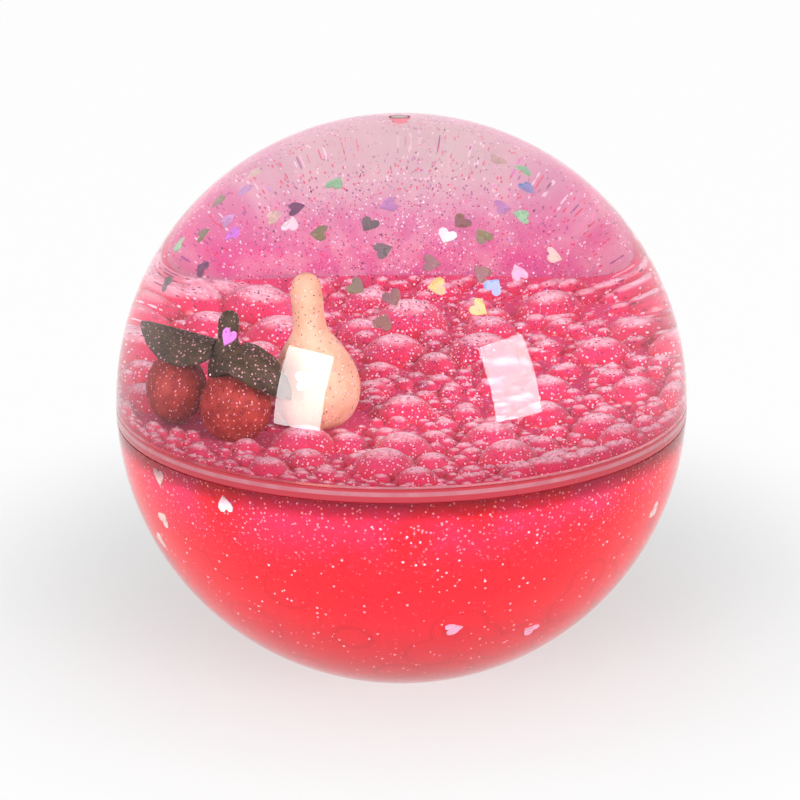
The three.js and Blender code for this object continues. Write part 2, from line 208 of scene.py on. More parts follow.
def mottle_group() -> bpy.types.NodeTree:
    """Builds the effect of an uneven colour.

    Returns:
        A group that puts out a soft factor from 0 to 1.
    """
    nodes, given = shader_group("mottle", {"Scale": 200.0}, ("Factor",))
    inputs = {"Vector": given["Vector"], "Scale": given["Scale"], "Detail": 4.0}
    noise = nodes.out("ShaderNodeTexNoise", inputs)
    nodes.add("NodeGroupOutput", {"Factor": nodes.span(noise, 0.35, 0.65)})
    return nodes.tree


def handling_group() -> bpy.types.NodeTree:
    """Builds the effect of faint smudges from handling.

    Returns:
        A group that puts out a roughness between two given ones.
    """
    nodes, given = shader_group("handling", {"Polished": 0.0, "Smudged": 0.1}, ("Roughness",))
    noise = nodes.out("ShaderNodeTexNoise", {"Vector": given["Vector"], "Scale": 60.0, "Detail": 6.0})
    patch = nodes.span(noise, 0.5, 0.75)
    rise = nodes.math("SUBTRACT", given["Smudged"], given["Polished"])
    rough = nodes.math("MULTIPLY_ADD", patch, rise, given["Polished"])
    nodes.add("NodeGroupOutput", {"Roughness": rough})
    return nodes.tree


@dataclass(frozen=True)
class Effects:
    """The effects that several finishes share."""

    specks: bpy.types.NodeTree
    mottle: bpy.types.NodeTree
    handling: bpy.types.NodeTree

    @classmethod
    def make(cls) -> "Effects":
        """Builds each effect once."""
        return cls(specks_group(), mottle_group(), handling_group())


class Paint(Nodes):
    """The nodes of a new material, with short calls for the shared effects."""

    def __init__(self, name: str, effects: Effects | None = None) -> None:
        """Makes the material and finds the piece's own coordinates.

        Args:
            name: the material's name.
            effects: the shared effects, where the material uses any.
        """
        self.material = bpy.data.materials.new(name)
        self.material.use_nodes = True
        super().__init__(self.material.node_tree)
        self.effects = effects
        self.place = self.out("ShaderNodeTexCoord", key="Object")

    def mottle(self, scale: float) -> Socket:
        """Adds the effect of an uneven colour."""
        inputs = {"Vector": self.place, "Scale": scale}
        return self.out("ShaderNodeGroup", inputs, node_tree=self.effects.mottle)

    def specks(self, scale: float, share: float) -> tuple[Socket, Socket]:
        """Adds the effect of clinging glitter.

        Args:
            scale: how fine it is.
            share: the share of specks that show.

        Returns:
            A mask of the specks and a random tone for each.
        """
        inputs = {"Vector": self.place, "Scale": scale, "Share": share}
        group = self.add("ShaderNodeGroup", inputs, node_tree=self.effects.specks)
        return group.outputs["Mask"], group.outputs["Tone"]

    def handling(self, polished: float, smudged: float) -> Socket:
        """Adds the effect of smudges, as a roughness."""
        inputs = {"Vector": self.place, "Polished": polished, "Smudged": smudged}
        return self.out("ShaderNodeGroup", inputs, node_tree=self.effects.handling)

    def blend(self, factor: Socket, first: bpy.types.Node, second: bpy.types.Node) -> bpy.types.Node:
        """Mixes two shaders, where the factor is the share of the second."""
        return self.add("ShaderNodeMixShader", {0: factor, 1: first.outputs[0], 2: second.outputs[0]})

    def show(self, shader: bpy.types.Node) -> bpy.types.Material:
        """Joins a shader to the surface and gives the material."""
        self.add("ShaderNodeOutputMaterial", {"Surface": shader.outputs[0]})
        return self.material

    def finish(self, inputs: dict, lets_lamps_through: bool = False) -> bpy.types.Material:
        """Ends the material with its shader.

        Args:
            inputs: the shader's inputs.
            lets_lamps_through: whether the lamps also light what is behind it.

        Returns:
            The material.
        """
        shader = self.add("ShaderNodeBsdfPrincipled", inputs)
        if lets_lamps_through:
            clear = self.add("ShaderNodeBsdfTransparent")
            shader = self.blend(self.out("ShaderNodeLightPath", key="Is Shadow Ray"), shader, clear)
        return self.show(shader)


@dataclass(frozen=True)
class ClearPlastic:
    """Polished outside of the shell, which bends light as the liquid behind it does."""

    effects: Effects
    tint: Colour = (0.97, 0.8, 0.87)
    paler: Colour = (0.98, 0.85, 0.9)
    patch_scale: float = 40.0
    smudged: float = 0.02
    bend: float = 1.34
    shine: float = 0.05

    def make(self) -> bpy.types.Material:
        """Builds the material."""
        paint = Paint("clear_plastic", self.effects)
        inputs = {
            "Base Color": paint.mix(paint.mottle(self.patch_scale), self.tint, self.paler),
            "Roughness": paint.handling(0.0, self.smudged),
            "IOR": self.bend,
            "Transmission Weight": 1.0,
            "Coat Weight": self.shine,
            "Coat Roughness": 0.01,
        }
        return paint.finish(inputs, lets_lamps_through=True)


@dataclass(frozen=True)
class WetWall:
    """Inside of the shell: clear from outside, and a pink film where the far wall is seen from within."""

    effects: Effects
    low: Colour = (0.68, 0.13, 0.36)
    high: Colour = (0.62, 0.31, 0.57)
    pale: Colour = (0.82, 0.64, 0.7)
    bare: Colour = (0.76, 0.66, 0.6)
    speck: Colour = (0.36, 0.08, 0.3)
    grain: Colour = (0.72, 0.05, 0.18)
    bright: Colour = (0.95, 0.85, 0.95)
    dense: float = 0.92
    thin: float = 0.3
    foot: Stretch = (-6 * MM, -4 * MM)
    blush: Stretch = (1 * MM, 12 * MM)
    thinning: Stretch = (4 * MM, 14 * MM)
    crown: Stretch = (41 * MM, 46 * MM)
    specks_end: Stretch = (9 * MM, 15 * MM)
    patch_scale: float = 34.0
    cloud_scale: float = 260.0
    speck_scale: float = 2900.0
    speck_share: float = 0.75

    def make(self) -> bpy.types.Material:
        """Builds the material."""
        paint = Paint("wet_wall", self.effects)
        patches, cloudy = paint.mottle(self.patch_scale), paint.mottle(self.cloud_scale)
        mask, tone = paint.specks(self.speck_scale, self.speck_share)
        height = paint.height(paint.place)
        speckled = paint.math("MULTIPLY", mask, paint.span(height, *self.specks_end, 1.0, 0.0))
        below_crown = paint.span(height, *self.crown, 1.0, 0.0)
        dome = paint.math("MULTIPLY", paint.span(height, *self.thinning), below_crown)
        worn = paint.math("MULTIPLY", dome, paint.math("MULTIPLY_ADD", patches, 0.7, 0.25))
        film = paint.math("MULTIPLY_ADD", worn, self.thin - self.dense, self.dense)
        film = paint.math("MAXIMUM", film, paint.math("MULTIPLY", speckled, 0.8))
        film = paint.math("MULTIPLY", film, paint.span(height, *self.foot))
        within = paint.math("SUBTRACT", 1.0, paint.out("ShaderNodeNewGeometry", key="Backfacing"))
        pink = paint.mix(paint.span(height, *self.blush), self.low, self.high)
        pale = paint.mix(paint.math("MULTIPLY", cloudy, 0.4), pink, self.pale)
        pale = paint.mix(worn, pale, self.bare)
        dust = paint.pick(tone, 0.25, self.speck, self.grain)
        dust = paint.pick(tone, 0.7, dust, self.bright)
        inputs = {
            "Base Color": paint.mix(speckled, pale, dust),
            "Roughness": 0.6,
            "Specular IOR Level": 0.0,
            "Alpha": paint.math("MULTIPLY", film, within),
        }
        return paint.finish(inputs, lets_lamps_through=True)


@dataclass(frozen=True)
class Moulded:
    """Plain moulded plastic of the plug, also used as painted shade: an opaque deep red on the shell's groove
    and plug-hole faces, where the slits show dark.
    """

    effects: Effects
    name: str
    colour: Colour
    deeper: Colour
    patch_scale: float = 320.0
    polished: float = 0.2
    smudged: float = 0.4

    def make(self) -> bpy.types.Material:
        """Builds the material."""
        paint = Paint(self.name, self.effects)
        return paint.finish({
            "Base Color": paint.mix(paint.mottle(self.patch_scale), self.colour, self.deeper),
            "Roughness": paint.handling(self.polished, self.smudged),
            "Coat Weight": 0.4,
        })


@dataclass(frozen=True)
class SeamBand:
    """Band at the seam: a pale strip between two deep red lines."""

    effects: Effects
    strip: Colour = (0.72, 0.23, 0.29)
    duller: Colour = (0.68, 0.17, 0.23)
    line: Colour = (0.66, 0.03, 0.06)
    strip_foot: Stretch = (-0.15 * MM, 0.05 * MM)
    strip_head: Stretch = (0.55 * MM, 0.75 * MM)
    patch_scale: float = 320.0
    polished: float = 0.2
    smudged: float = 0.4

    def make(self) -> bpy.types.Material:
        """Builds the material."""
        paint = Paint("seam_band", self.effects)
        height = paint.height(paint.place)
        body = paint.mix(paint.mottle(self.patch_scale), self.strip, self.duller)
        below = paint.span(height, *self.strip_foot)
        above = paint.span(height, *self.strip_head, 1.0, 0.0)
        inputs = {
            "Base Color": paint.mix(paint.math("MULTIPLY", below, above), self.line, body),
            "Roughness": paint.handling(self.polished, self.smudged),
            "Coat Weight": 0.3,
        }
        return paint.finish(inputs, lets_lamps_through=True)


@dataclass(frozen=True)
class RedLiquid:
    """Red liquid against the lower wall, with the rounds of droplets that press on it."""

    effects: Effects
    colour: Colour = (0.72, 0.013, 0.024)
    deeper: Colour = (0.66, 0.013, 0.03)
    ring: Colour = (0.5, 0.006, 0.02)
    magenta: Colour = (0.66, 0.035, 0.14)
    sparkle: Colour = (1.0, 0.6, 0.65)
    violet: Colour = (0.55, 0.12, 0.4)
    froth: Colour = (0.8, 0.1, 0.24)
    blush: Stretch = (-16 * MM, -2 * MM)
    haze: Stretch = (-18 * MM, -1 * MM)
    most: float = 0.75
    ring_scale: float = 95.0
    ring_inside: Stretch = (0.4, 0.45)
    ring_outside: Stretch = (0.45, 0.5)

    def make(self) -> bpy.types.Material:
        """Builds the material."""
        paint = Paint("red_liquid", self.effects)
        mottle, patches = paint.mottle(35.0), paint.mottle(75.0)
        sparkling, _ = paint.specks(1500.0, 0.05)
        hazy, tone = paint.specks(1700.0, 0.5)
        cells = {"Vector": paint.place, "Scale": self.ring_scale}
        away = paint.out("ShaderNodeTexVoronoi", cells, "Distance")
        rise = paint.span(away, *self.ring_inside)
        fall = paint.span(away, *self.ring_outside, 1.0, 0.0)
        body = paint.mix(mottle, self.colour, self.deeper)
        edge = paint.math("MULTIPLY", paint.math("MULTIPLY", rise, fall), 0.5)
        body = paint.mix(edge, body, self.ring)
        height = paint.height(paint.place)
        upper = paint.math("MULTIPLY", paint.span(height, *self.blush, 0.0, self.most), patches)
        body = paint.mix(upper, body, self.magenta)
        body = paint.mix(paint.span(paint.facing(), 0.6, 0.9), body, self.froth)
        hung = paint.math("MULTIPLY", hazy, paint.span(height, *self.haze, 0.0, self.most))
        body = paint.mix(hung, body, paint.pick(tone, 0.4, self.violet, self.sparkle))
        return paint.finish({
            "Base Color": paint.mix(sparkling, body, self.sparkle),
            "Roughness": 0.5,
            "Specular IOR Level": 0.0,
        })


@dataclass(frozen=True)
class Droplet:
    """Glossy droplets, dusted with glitter: deep red at the side, painted brighter where they face up, with a
    painted highlight as a pale cap on top.
    """

    effects: Effects
    side: Colour = (0.74, 0.012, 0.06)
    # Painted light: the colour where droplets face up is brighter, and the top colour over the crown stretch
    # is a painted highlight.
    lit_middle: Colour = (0.76, 0.045, 0.16)
    top: Colour = (0.94, 0.66, 0.75)
    pale: Colour = (1.0, 0.78, 0.86)
    dark: Colour = (0.4, 0.025, 0.13)
    bloom: Colour = (1.0, 0.88, 0.92)
    shoulder: Stretch = (0.25, 0.75)
    crown: Stretch = (0.8, 0.97)
    patch_scale: float = 330.0
    highlight_break_scale: float = 1400.0
    speck_scale: float = 2100.0
    speck_share: float = 0.8

    def make(self) -> bpy.types.Material:
        """Builds the material."""
        paint = Paint("droplet", self.effects)
        # The second mottle breaks up the painted highlight on the tops.
        mottle, froth = paint.mottle(self.patch_scale), paint.mottle(self.highlight_break_scale)
        mask, tone = paint.specks(self.speck_scale, self.speck_share)
        facing = paint.facing()
        # Painted light: brighter where the surface faces up.
        body = paint.mix(paint.span(facing, *self.shoulder), self.side, self.lit_middle)
        body = paint.mix(paint.math("MULTIPLY", mottle, 0.5), body, self.side)
        # Painted highlight: a pale cap on the tops, broken up by noise.
        highlight_breakup = paint.math("MULTIPLY_ADD", froth, 0.55, 0.45)
        body = paint.mix(paint.math("MULTIPLY", paint.span(facing, *self.crown), highlight_breakup), body, self.top)
        return paint.finish({
            "Base Color": paint.mix(mask, body, paint.pick(tone, 0.45, self.dark, self.pale)),
            "Roughness": 0.12,
            "IOR": 1.5,
            "Sheen Weight": 0.4,
            "Sheen Roughness": 0.45,
            "Sheen Tint": self.bloom,
        })


@dataclass(frozen=True)
class PaintedFruit:
    """Matte painted moulding with clinging glitter."""

    effects: Effects
    name: str
    colour: Colour
    deeper: Colour
    bright: Colour
    dark: Colour
    share: float
    fineness: float
    patch_scale: float = 500.0
    grain_scale: float = 900.0
    grain_depth: float = 0.1 * MM

    def make(self) -> bpy.types.Material:
        """Builds the material."""
        paint = Paint(self.name, self.effects)
        mottle = paint.mottle(self.patch_scale)
        mask, tone = paint.specks(self.fineness, self.share)
        body = paint.mix(mottle, self.colour, self.deeper)
        noise = paint.out("ShaderNodeTexNoise", {"Vector": paint.place, "Scale": self.grain_scale})
        grain = {"Strength": 0.2, "Distance": self.grain_depth, "Height": noise}
        return paint.finish({
            "Base Color": paint.mix(mask, body, paint.pick(tone, 0.5, self.dark, self.bright)),
            "Roughness": paint.span(mottle, 0.0, 1.0, 0.45, 0.65),
            "Specular IOR Level": 0.2,
            "Normal": paint.out("ShaderNodeBump", grain),
        })


@dataclass(frozen=True)
class FoilFinish:
    """Iridescent film of one colour."""

    effects: Effects
    foil: Foil
    patch_scale: float = 420.0

    def make(self) -> bpy.types.Material:
        """Builds the material."""
        paint = Paint(f"foil_{self.foil.name.lower()}", self.effects)
        mottle = paint.mottle(self.patch_scale)
        red, green, blue = self.foil.value
        shifted = (0.8 * red + 0.2 * blue, 0.9 * green, 0.8 * blue + 0.2 * red)
        return paint.finish({
            "Base Color": paint.mix(mottle, self.foil.value, shifted),
            "Roughness": paint.span(mottle, 0.0, 1.0, 0.25, 0.4),
            "Metallic": 0.25,
        })


@dataclass(frozen=True)
class GlitterFinish:
    """Fine flakes, each with a tone of its own from a list."""

    name: str
    tones: tuple[tuple[float, Colour], ...]

    def make(self) -> bpy.types.Material:
        """Builds the material."""
        paint = Paint(self.name)
        tone = paint.out("ShaderNodeAttribute", key="Fac", attribute_name="tone")
        ramp = paint.add("ShaderNodeValToRGB", {"Fac": tone})
        ramp.color_ramp.interpolation = "CONSTANT"
        while len(ramp.color_ramp.elements) < len(self.tones):
            ramp.color_ramp.elements.new(1.0)
        for element, (start, colour) in zip(ramp.color_ramp.elements, self.tones):
            element.position = start
            element.color = (*colour, 1.0)
        return paint.finish({"Base Color": ramp.outputs[0], "Roughness": 0.3, "Metallic": 0.2})


def new_piece(name: str, mesh: bpy.types.Mesh) -> bpy.types.Object:
    """Puts a mesh in the scene as an object at the origin.

    Args:
        name: the piece's name.
        mesh: its mesh.

    Returns:
        The object.
    """
    piece = bpy.data.objects.new(name, mesh)
    bpy.context.scene.collection.objects.link(piece)
    return piece


def settle(piece: bpy.types.Object) -> bpy.types.Object:
    """Turns a piece's modifiers into plain mesh.

    Args:
        piece: the object.

    Returns:
        The same object, with no modifiers.
    """
    graph = bpy.context.evaluated_depsgraph_get()
    shaped = piece.evaluated_get(graph)
    mesh = bpy.data.meshes.new_from_object(shaped, preserve_all_data_layers=True, depsgraph=graph)
    piece.modifiers.clear()
    old = piece.data
    piece.data = mesh
    bpy.data.meshes.remove(old)
    mesh.name = piece.name
    return piece


def hand_over(piece: bpy.types.Object, body: Body, slot: str, *nodes: str) -> None:
    """Fixes a finished piece to its body.

    Args:
        piece: the object.
        body: the body that it rides on.
        slot: not used.
        nodes: the frame's nodes that it stands for.
    """
    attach(piece, body.value)
    if nodes:
        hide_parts(*nodes)
    log.info("%s: %d faces on %s", piece.name, len(piece.data.polygons), body.value)


def revolve(name: str, profile: Profile, sections: list[int], turns: int) -> bpy.types.Mesh:
    """Revolves a closed profile about the upright axis.

    Args:
        name: the mesh's name.
        profile: points as (radius, height), where the last joins the first.
        sections: the material place of the stretch that follows each point.
        turns: steps in a full turn.

    Returns:
        A closed, smooth mesh.
    """
    shape = bmesh.new()
    rings = []
    for radius, height in profile:
        steps = turns if radius > ON_AXIS else 1
        angles = [2 * math.pi * k / turns for k in range(steps)]
        rings.append([shape.verts.new((radius * math.cos(a), radius * math.sin(a), height)) for a in angles])
    for i, ring in enumerate(rings):
        after = rings[(i + 1) % len(rings)]
        if len(ring) == 1 and len(after) == 1:
            continue
        for k in range(turns):
            near = [ring[k % len(ring)], ring[(k + 1) % len(ring)]]
            far = [after[(k + 1) % len(after)], after[k % len(after)]]
            face = shape.faces.new(list(dict.fromkeys(near + far)))
            face.material_index = sections[i]
            face.smooth = True
    bmesh.ops.recalc_face_normals(shape, faces=shape.faces)
    mesh = bpy.data.meshes.new(name)
    shape.to_mesh(mesh)
    shape.free()
    return mesh


def arc(radius: float, low: float, high: float, steps: int) -> Profile:
    """Gives an arc of a sphere's profile.

    Args:
        radius: the sphere's radius.
        low: the height where the arc starts.
        high: the height where it ends.
        steps: the number of steps.

    Returns:
        Points as (radius, height), both ends included.
    """
    first, last = math.asin(low / radius), math.asin(high / radius)
    angles = [first + (last - first) * k / steps for k in range(steps + 1)]
    return [(max(radius * math.cos(a), 0.0), radius * math.sin(a)) for a in angles]


def mark_sharp(mesh: bpy.types.Mesh) -> None:
    """Keeps the edges that turn by more than the sharp angle sharp."""
    mesh.set_sharp_from_angle(angle=math.radians(SHARP_ANGLE))


@dataclass
class Shell:
    """The two half shells, the band at their seam and the fill plug."""

    effects: Effects
    radius: float = 50 * MM
    wall: float = 3.5 * MM
    band_height: float = 1.8 * MM
    band_depth: float = 1.2 * MM
    seam_gap: float = 0.3 * MM
    joint_gap: float = 0.02 * MM
    band_gap: float = 0.1 * MM
    band_ease: float = 0.15 * MM
    band_steps: int = 6
    plug_radius: float = 1.5 * MM
    plug_depth: float = 1.2 * MM
    stem_radius: float = 0.9 * MM
    plug_steps: int = 4
    turns: int = 192
    steps: int = 48

    def build(self) -> None:
        """Makes the four pieces and fixes them to the ball."""
        self.clear = ClearPlastic(self.effects).make()
        self.wet = WetWall(self.effects).make()
        seam = SeamBand(self.effects).make()
        # The groove finish is painted shade: the clear shell's groove and plug-hole faces are painted opaque
        # deep red so the slits show as dark lines.
        self.groove = Moulded(self.effects, "seam_groove_painted_shade", (0.72, 0.08, 0.13), (0.6, 0.05, 0.1)).make()
        plug = Moulded(self.effects, "fill_plug", (0.5, 0.08, 0.13), (0.4, 0.05, 0.1)).make()
        self.half("upper_shell", self.upper_profile())
        self.half("lower_shell", self.lower_profile())
        self.small("seam_band", self.band_profile(), seam)
        self.small("fill_plug", self.plug_profile(), plug)

    def edge(self) -> float:
        """Height of the groove's edge above the seam."""
        return self.band_height / 2 + self.seam_gap

    def groove_radius(self) -> float:
        """Radius of the groove's floor."""
        return self.radius - self.band_depth - self.seam_gap

    def upper_profile(self) -> tuple[Profile, list[int]]:
        """Lays out the upper half, with its stepped plug hole.

        Returns:
            The profile and the material place of each stretch.
        """
        head, stem = self.plug_radius + self.seam_gap, self.stem_radius + self.seam_gap
        inner = self.radius - self.wall
        top, under = math.sqrt(self.radius**2 - head**2), math.sqrt(inner**2 - stem**2)
        outside = arc(self.radius, top, self.edge(), self.steps)
        rim = [(self.groove_radius(), self.edge()), (self.groove_radius(), self.joint_gap / 2)]
        inside = arc(inner, self.joint_gap / 2, under, self.steps)
        seat = self.radius - self.plug_depth - self.seam_gap
        hole = [(stem, seat), (head, seat)]
        # Place 1, the groove finish, is painted shade on the ledge, the groove wall and the plug hole.
        sections = [0] * self.steps + [1, 1, 2] + [2] * self.steps + [1] * 3
        return outside + rim + inside + hole, sections

    def lower_profile(self) -> tuple[Profile, list[int]]:
        """Lays out the lower half.

        Returns:
            The profile and the material place of each stretch.
        """
        inner = self.radius - self.wall
        outside = arc(self.radius, -self.radius, -self.edge(), self.steps)
        rim = [(self.groove_radius(), -self.edge()), (self.groove_radius(), -self.joint_gap / 2)]
        inside = arc(inner, -self.joint_gap / 2, -inner, self.steps)
        # Place 1, the groove finish, is painted shade on the ledge and the groove wall.
        sections = [0] * self.steps + [1, 1, 2] + [2] * self.steps + [2]
        return outside + rim + inside, sections

    def band_profile(self) -> Profile:
        """Lays out the band, with its edges eased."""
        half, ease = self.edge() - self.band_gap, self.band_ease
        face = arc(self.radius, -half + ease, half - ease, self.band_steps)
        back = self.radius - self.band_depth
        shoulder = self.radius - ease
        return face + [(shoulder, half), (back, half), (back, -half), (shoulder, -half)]

    def plug_profile(self) -> Profile:
        """Lays out the plug, head and stem."""
        inner = self.radius - self.wall
        shoulder = self.radius - self.plug_depth
        crown = math.sqrt(self.radius**2 - self.plug_radius**2)
        head = arc(self.radius, crown, self.radius, self.plug_steps)
        stem = [(0.0, inner), (self.stem_radius, inner), (self.stem_radius, shoulder)]
        return stem + [(self.plug_radius, shoulder)] + head

    def half(self, name: str, laid: tuple[Profile, list[int]]) -> None:
        """Makes one half shell.

        Args:
            name: the node that it stands for.
            laid: its profile and material places.
        """
        mesh = revolve(name, *laid, self.turns)
        for material in (self.clear, self.groove, self.wet):
            mesh.materials.append(material)
        mark_sharp(mesh)
        hand_over(new_piece(f"{name}_clear", mesh), Body.BALL, "clear_shell", name)

    def small(self, name: str, profile: Profile, material: bpy.types.Material) -> None:
        """Makes the band or the plug.

        Args:
            name: the node that it stands for.
            profile: its profile.
            material: its finish.
        """
        mesh = revolve(name, profile, [0] * len(profile), self.turns)
        mesh.materials.append(material)
        mark_sharp(mesh)
        hand_over(new_piece(f"{name}_moulded", mesh), Body.BALL, name, name)


class Recipe(Nodes):
    """A Geometry Nodes tree with named inputs."""

    def __init__(self, name: str, inputs: dict[str, Any]) -> None:
        """Makes the tree and its sockets.

        Args:
            name: the tree's name.
            inputs: input names to their values.
        """
        super().__init__(bpy.data.node_groups.new(name, "GeometryNodeTree"))
        self.values: dict[str, Any] = {}
        self.tree.interface.new_socket(name="Geometry", in_out="INPUT", socket_type="NodeSocketGeometry")
        for title, value in inputs.items():
            kind = next(kind for plain, kind in SOCKET_KINDS.items() if isinstance(value, plain))
            item = self.tree.interface.new_socket(name=title, in_out="INPUT", socket_type=kind)
            self.values[item.identifier] = value
        self.tree.interface.new_socket(name="Geometry", in_out="OUTPUT", socket_type="NodeSocketGeometry")
        self.given = self.add("NodeGroupInput").outputs

    def random(self, low: Any, high: Any, seed: Any, kind: str = "FLOAT") -> Socket:
        """Adds a random value for each element."""
        inputs = {"Min": low, "Max": high, "Seed": seed}
        return self.out("FunctionNodeRandomValue", inputs, data_type=kind)

    def without(self, points: Socket, chosen: Socket) -> Socket:
        """Deletes the chosen points."""
        inputs = {"Geometry": points, "Selection": chosen}
        return self.out("GeometryNodeDeleteGeometry", inputs, domain="POINT")

    def vector(self, operation: str, *values: Any) -> Socket:
        """Adds a maths node for vectors, with its inputs in order."""
        return self.out("ShaderNodeVectorMath", dict(enumerate(values)), operation=operation)

    def dressed(self, instances: Socket) -> Socket:
        """Makes instances real and gives them the tree's finish."""
        real = self.out("GeometryNodeRealizeInstances", {"Geometry": instances})
        return self.out("GeometryNodeSetMaterial", {"Geometry": real, "Material": self.given["Finish"]})

    def finish(self, geometry: Socket) -> None:
        """Joins a geometry to the tree's output."""
        self.add("NodeGroupOutput", {"Geometry": geometry})

    def run(self, piece: bpy.types.Object) -> bpy.types.Object:
        """Runs the tree on a piece and keeps the plain mesh.

        Args:
            piece: the object.

        Returns:
            The same object.
        """
        modifier = piece.modifiers.new(self.tree.name, "NODES")
        modifier.node_group = self.tree
        for identifier, value in self.values.items():
            modifier[identifier] = value
        return settle(piece)


@dataclass
class RedLayer:
    """Red liquid with the raft of droplets on it."""

    effects: Effects
    radius: float = 45.96 * MM
    bowl_radius: float = 45.55 * MM
    wall_radius: float = 46.35 * MM
    meniscus: float = 0.15 * MM
    level: float = -0.5 * MM
    count: int = 100
    small: float = 2.2 * MM
    large: float = 5.4 * MM
    sunk_share: float = 0.35
    clearance: float = 0.3 * MM
    bead_count: int = 220
    bead_small: float = 1.2 * MM
    bead_large: float = 2.4 * MM
    rim_count: int = 120
    rim_small: float = 1.3 * MM
    rim_large: float = 3.8 * MM
    fill_small: float = 0.6 * MM
    fill_large: float = 2.1 * MM
    fill_spacing: float = 1.7 * MM
    fill_density: float = 4e5
    overlap: float = 0.3
    seed: int = 7
    steps: int = 40
    turns: int = 160

    def build(self) -> None:
        """Makes the liquid with its droplets and fixes it to the layer."""
        outside = arc(self.bowl_radius, -self.bowl_radius, self.level - 2 * self.meniscus, self.steps)
        climb = [(self.wall_radius, self.level + side * self.meniscus) for side in (-1, 1)]
        profile = outside + climb + [(self.bowl_radius - self.meniscus, self.level), (0.0, self.level)]
        mesh = revolve("red_liquid", profile, [0] * len(profile), self.turns)
        mesh.materials.append(RedLiquid(self.effects).make())
        mark_sharp(mesh)
        piece = new_piece("red_liquid_droplets", mesh)
        self.droplets(Droplet(self.effects).make()).run(piece)
        hand_over(piece, Body.RED_LAYER, "red_liquid", "red_liquid")

    def columns(self) -> list[tuple[Vector, float]]:
        """Gives the upright columns that the floats need, as centre and radius."""
        found = []
        for node in ("cherry_left", "cherry_right", "pear"):
            low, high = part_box(node)
            radius = (high.y - low.y) / 2
            centre = Vector(((low.x + high.x) / 2, (low.y + high.y) / 2, 0.0))
            if node == "pear":
                centre.x = high.x - radius
            found.append((centre, radius))
        return found

    def droplets(self, material: bpy.types.Material) -> Recipe:
        """Lays out the droplets: the large ones like seeds in a sunflower, small ones between.

        Args:
            material: their finish.

        Returns:
            The tree.
        """
        tree = Recipe("droplet_raft", {
            "Count": self.count,
            "Reach": self.radius - self.clearance,
            "Small": self.small,
            "Large": self.large,
            "Bead Count": self.bead_count,
            "Bead Small": self.bead_small,
            "Bead Large": self.bead_large,
            "Rim Count": self.rim_count,
            "Rim Small": self.rim_small,
            "Rim Large": self.rim_large,
            "Fill Small": self.fill_small,
            "Fill Large": self.fill_large,
            "Fill Spacing": self.fill_spacing,
            "Fill Density": self.fill_density,
            "Level": self.level,
            "Seed": self.seed,
            "Finish": material,
        })
        given = tree.given
        raft = self.sunflower(tree, "", math.sqrt(2), 0.0, 0.5, 3)
        beads = self.sunflower(tree, "Bead ", math.sqrt(3), 1.0, 0.5, 2)
        rim_beads = self.sunflower(tree, "Rim ", math.sqrt(5), 2.0, 0.02, 2)

        rim = tree.math("SUBTRACT", given["Reach"], given["Fill Large"])
        disc = tree.out("GeometryNodeMeshCircle", {"Vertices": 64, "Radius": rim}, fill_type="NGON")
        inputs = {
            "Mesh": disc,
            "Distance Min": given["Fill Spacing"],
            "Density Max": given["Fill Density"],
            "Seed": given["Seed"],
        }
        points = tree.out("GeometryNodeDistributePointsOnFaces", inputs, distribute_method="POISSON")
        fill_radius = self.sized(tree, "Fill ", tree.random(0.0, 1.0, given["Seed"]))
        place = tree.out("GeometryNodeInputPosition")
        axes = tree.add("ShaderNodeSeparateXYZ", {"Vector": place}).outputs
        away = tree.out("ShaderNodeVectorMath", {0: place}, "Value", operation="LENGTH")
        bearing = tree.math("ARCTAN2", axes["Y"], axes["X"])
        filling = self.placed(tree, points, fill_radius, away, bearing, 2)

        both = tree.add("GeometryNodeJoinGeometry")
        for geometry in (filling, rim_beads, beads, raft, given["Geometry"]):
            tree.tree.links.new(geometry, both.inputs[0])
        tree.finish(both.outputs[0])
        return tree

    @staticmethod
    def sized(tree: Recipe, family: str, share: Socket) -> Socket:
        """Spreads a share over a family's radii, with more small droplets than large ones.

        Args:
            tree: the tree to add to.
            family: how the names of its inputs start.
            share: a number from 0 to 1 for each droplet.

        Returns:
            The radius of each droplet.
        """
        small, large = tree.given[f"{family}Small"], tree.given[f"{family}Large"]
        spread = tree.math("SUBTRACT", large, small)
        return tree.math("MULTIPLY_ADD", tree.math("POWER", share, 2.0), spread, small)

    def sunflower(
        self, tree: Recipe, family: str, size_step: float, turn: float, spread: float, detail: int
    ) -> Socket:
        """Lays out a family of droplets like seeds in a sunflower.

        Args:
            tree: the tree to add to.
            family: how the names of its inputs start.
            size_step: the irrational step that mixes their sizes.
            turn: the angle of the first.
            spread: a half for an even field, and near 0 for a ring at the wall.
            detail: how finely a droplet is cut.

        Returns:
            The droplets as real mesh.
        """
        count = tree.given[f"{family}Count"]
        index = tree.out("GeometryNodeInputIndex")
        radius = self.sized(tree, family, tree.math("FRACT", tree.math("MULTIPLY", index, size_step)))
        part = tree.math("POWER", tree.math("DIVIDE", tree.math("ADD", index, 0.5), count), spread)
        distance = tree.math("MULTIPLY", tree.math("SUBTRACT", tree.given["Reach"], radius), part)
        angle = tree.math("MULTIPLY_ADD", index, GOLDEN_ANGLE, turn)
        line = tree.out("GeometryNodeMeshLine", {"Count": count})
        return self.placed(tree, line, radius, distance, angle, detail)

